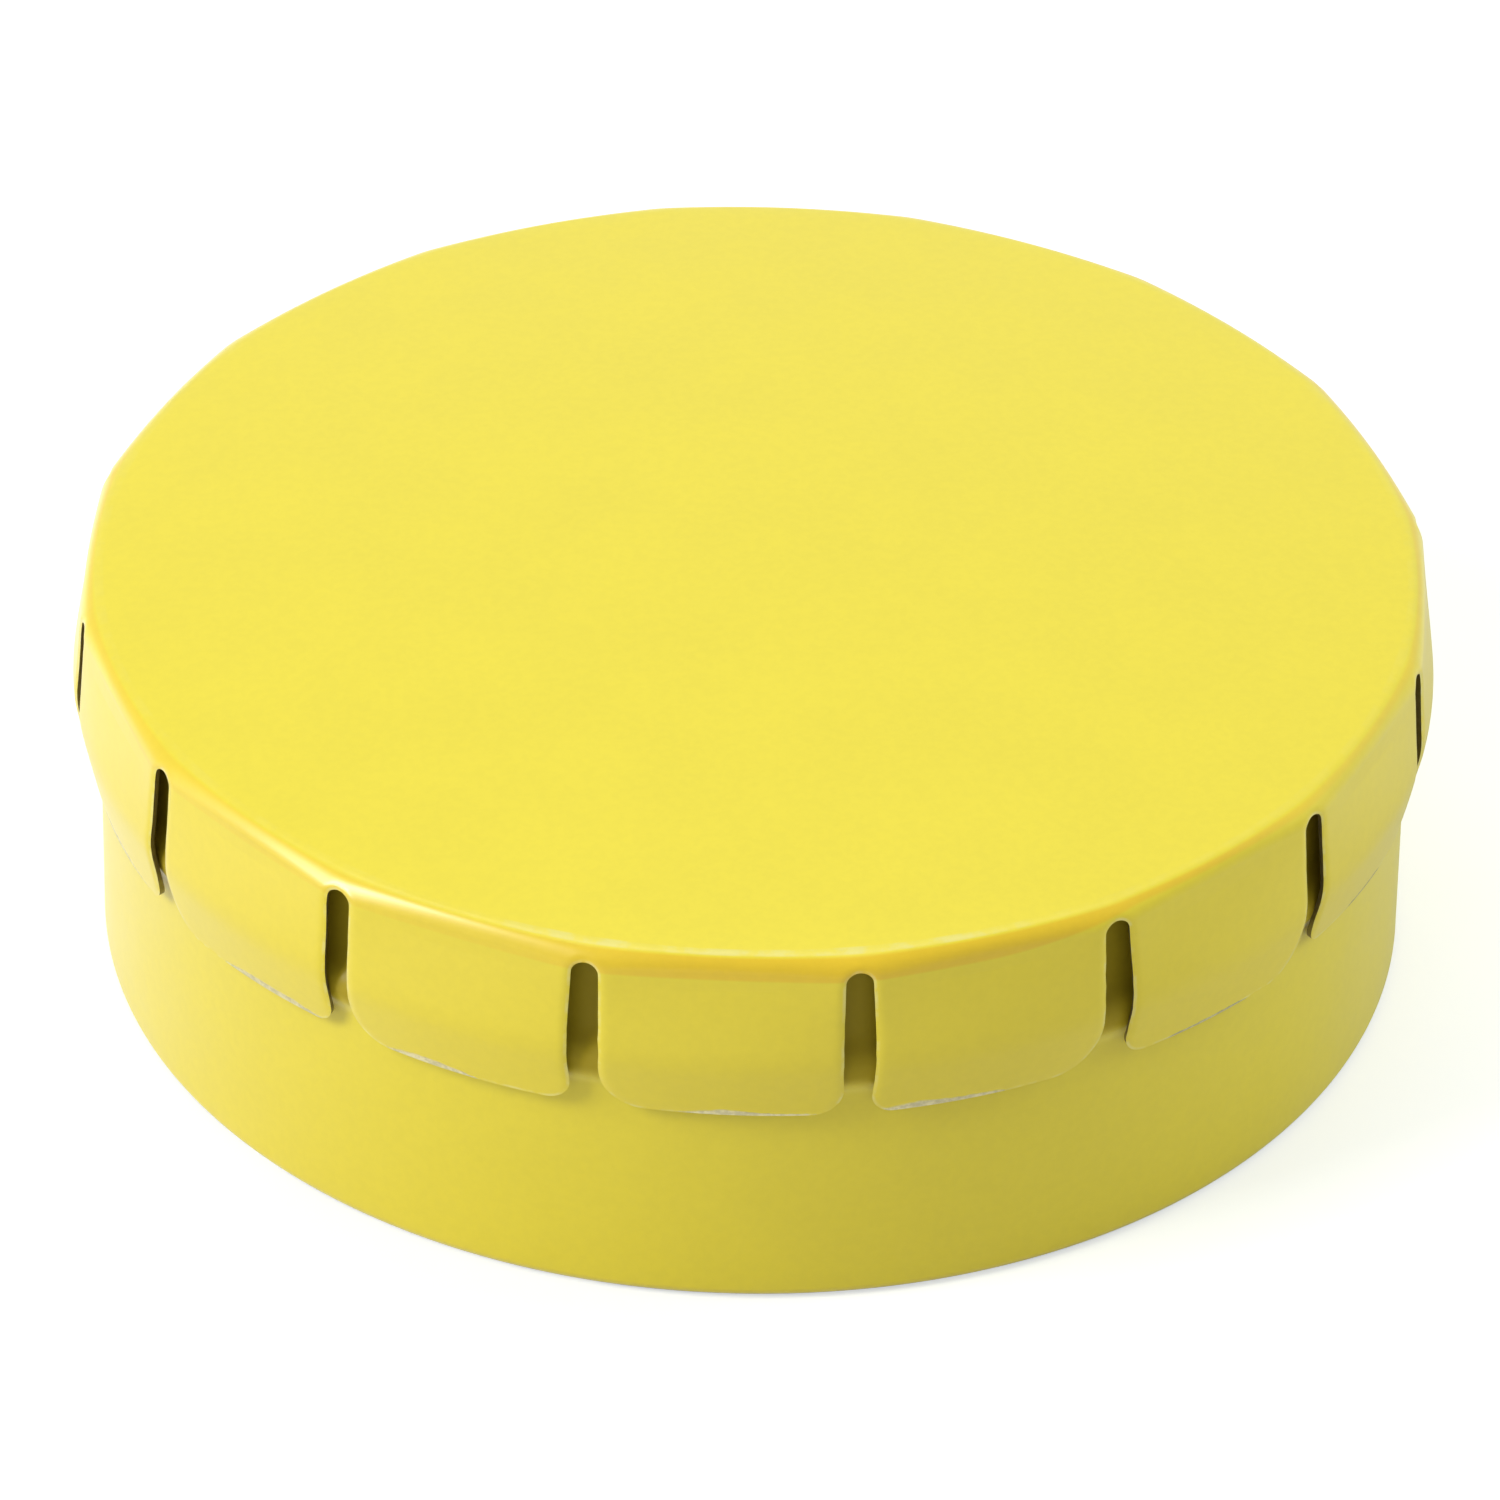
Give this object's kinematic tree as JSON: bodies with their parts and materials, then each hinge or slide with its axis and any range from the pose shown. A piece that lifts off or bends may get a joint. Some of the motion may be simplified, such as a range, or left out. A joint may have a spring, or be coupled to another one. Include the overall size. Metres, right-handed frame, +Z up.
{
  "type": "mint tin",
  "caption": "Round tinplate mint tin with a press-to-open domed lid; pressing the panel splays spring tabs off the can's ridge so that the lid lifts off.",
  "frame": {"origin": "centre of the base, on the plane that the tin stands on", "axes": "+Z up along the tin's axis; X and Y in the base plane, each through a slot between two tabs"},
  "size_m": [0.0502, 0.0502, 0.0165],
  "materials": {
    "can_lacquer": "semi-gloss lacquer on tinplate",
    "lid_lacquer": "semi-gloss lacquer on tinplate"
  },
  "bodies": {
    "can": {"can": "can_lacquer"},
    "lid": {"lid_shoulder": "lid_lacquer"},
    "panel": {"lid_panel": "lid_lacquer"},
    "tab_01": {"lid_tab_01": "lid_lacquer"},
    "tab_02": {"lid_tab_02": "lid_lacquer"},
    "tab_03": {"lid_tab_03": "lid_lacquer"},
    "tab_04": {"lid_tab_04": "lid_lacquer"},
    "tab_05": {"lid_tab_05": "lid_lacquer"},
    "tab_06": {"lid_tab_06": "lid_lacquer"},
    "tab_07": {"lid_tab_07": "lid_lacquer"},
    "tab_08": {"lid_tab_08": "lid_lacquer"},
    "tab_09": {"lid_tab_09": "lid_lacquer"},
    "tab_10": {"lid_tab_10": "lid_lacquer"},
    "tab_11": {"lid_tab_11": "lid_lacquer"},
    "tab_12": {"lid_tab_12": "lid_lacquer"},
    "tab_13": {"lid_tab_13": "lid_lacquer"},
    "tab_14": {"lid_tab_14": "lid_lacquer"},
    "tab_15": {"lid_tab_15": "lid_lacquer"},
    "tab_16": {"lid_tab_16": "lid_lacquer"}
  },
  "joints": [
    {"name": "lid_lift", "type": "slide", "parent": "can", "child": "lid", "axis": [0, 0, 1], "range_m": [0, 0.03], "deforming": ["lid_tab_01", "lid_tab_02", "lid_tab_03", "lid_tab_04", "lid_tab_05", "lid_tab_06", "lid_tab_07", "lid_tab_08", "lid_tab_09", "lid_tab_10", "lid_tab_11", "lid_tab_12", "lid_tab_13", "lid_tab_14", "lid_tab_15", "lid_tab_16"]},
    {"name": "panel_press", "type": "slide", "parent": "lid", "child": "panel", "axis": [0, 0, -1], "range_m": [0, 0.002]},
    {"name": "tab_flex_01", "type": "hinge", "parent": "lid", "child": "tab_01", "pos_m": [0.02437, 0.00485, 0.01438], "axis": [0.1951, -0.9808, 0], "range_deg": [0, 6]},
    {"name": "tab_flex_02", "type": "hinge", "parent": "lid", "child": "tab_02", "pos_m": [0.02066, 0.01381, 0.01438], "axis": [0.5556, -0.8315, 0], "range_deg": [0, 6]},
    {"name": "tab_flex_03", "type": "hinge", "parent": "lid", "child": "tab_03", "pos_m": [0.01381, 0.02066, 0.01438], "axis": [0.8315, -0.5556, 0], "range_deg": [0, 6]},
    {"name": "tab_flex_04", "type": "hinge", "parent": "lid", "child": "tab_04", "pos_m": [0.00485, 0.02437, 0.01438], "axis": [0.9808, -0.1951, 0], "range_deg": [0, 6]},
    {"name": "tab_flex_05", "type": "hinge", "parent": "lid", "child": "tab_05", "pos_m": [-0.00485, 0.02437, 0.01438], "axis": [0.9808, 0.1951, 0], "range_deg": [0, 6]},
    {"name": "tab_flex_06", "type": "hinge", "parent": "lid", "child": "tab_06", "pos_m": [-0.01381, 0.02066, 0.01438], "axis": [0.8315, 0.5556, 0], "range_deg": [0, 6]},
    {"name": "tab_flex_07", "type": "hinge", "parent": "lid", "child": "tab_07", "pos_m": [-0.02066, 0.01381, 0.01438], "axis": [0.5556, 0.8315, 0], "range_deg": [0, 6]},
    {"name": "tab_flex_08", "type": "hinge", "parent": "lid", "child": "tab_08", "pos_m": [-0.02437, 0.00485, 0.01438], "axis": [0.1951, 0.9808, 0], "range_deg": [0, 6]},
    {"name": "tab_flex_09", "type": "hinge", "parent": "lid", "child": "tab_09", "pos_m": [-0.02437, -0.00485, 0.01438], "axis": [-0.1951, 0.9808, 0], "range_deg": [0, 6]},
    {"name": "tab_flex_10", "type": "hinge", "parent": "lid", "child": "tab_10", "pos_m": [-0.02066, -0.01381, 0.01438], "axis": [-0.5556, 0.8315, 0], "range_deg": [0, 6]},
    {"name": "tab_flex_11", "type": "hinge", "parent": "lid", "child": "tab_11", "pos_m": [-0.01381, -0.02066, 0.01438], "axis": [-0.8315, 0.5556, 0], "range_deg": [0, 6]},
    {"name": "tab_flex_12", "type": "hinge", "parent": "lid", "child": "tab_12", "pos_m": [-0.00485, -0.02437, 0.01438], "axis": [-0.9808, 0.1951, 0], "range_deg": [0, 6]},
    {"name": "tab_flex_13", "type": "hinge", "parent": "lid", "child": "tab_13", "pos_m": [0.00485, -0.02437, 0.01438], "axis": [-0.9808, -0.1951, 0], "range_deg": [0, 6]},
    {"name": "tab_flex_14", "type": "hinge", "parent": "lid", "child": "tab_14", "pos_m": [0.01381, -0.02066, 0.01438], "axis": [-0.8315, -0.5556, 0], "range_deg": [0, 6]},
    {"name": "tab_flex_15", "type": "hinge", "parent": "lid", "child": "tab_15", "pos_m": [0.02066, -0.01381, 0.01438], "axis": [-0.5556, -0.8315, 0], "range_deg": [0, 6]},
    {"name": "tab_flex_16", "type": "hinge", "parent": "lid", "child": "tab_16", "pos_m": [0.02437, -0.00485, 0.01438], "axis": [-0.1951, -0.9808, 0], "range_deg": [0, 6]}
  ],
  "couplings": [
    {"joint": "tab_flex_01", "follows": "panel_press", "rad_per_m": 52.3},
    {"joint": "tab_flex_02", "follows": "panel_press", "rad_per_m": 52.3},
    {"joint": "tab_flex_03", "follows": "panel_press", "rad_per_m": 52.3},
    {"joint": "tab_flex_04", "follows": "panel_press", "rad_per_m": 52.3},
    {"joint": "tab_flex_05", "follows": "panel_press", "rad_per_m": 52.3},
    {"joint": "tab_flex_06", "follows": "panel_press", "rad_per_m": 52.3},
    {"joint": "tab_flex_07", "follows": "panel_press", "rad_per_m": 52.3},
    {"joint": "tab_flex_08", "follows": "panel_press", "rad_per_m": 52.3},
    {"joint": "tab_flex_09", "follows": "panel_press", "rad_per_m": 52.3},
    {"joint": "tab_flex_10", "follows": "panel_press", "rad_per_m": 52.3},
    {"joint": "tab_flex_11", "follows": "panel_press", "rad_per_m": 52.3},
    {"joint": "tab_flex_12", "follows": "panel_press", "rad_per_m": 52.3},
    {"joint": "tab_flex_13", "follows": "panel_press", "rad_per_m": 52.3},
    {"joint": "tab_flex_14", "follows": "panel_press", "rad_per_m": 52.3},
    {"joint": "tab_flex_15", "follows": "panel_press", "rad_per_m": 52.3},
    {"joint": "tab_flex_16", "follows": "panel_press", "rad_per_m": 52.3}
  ]
}
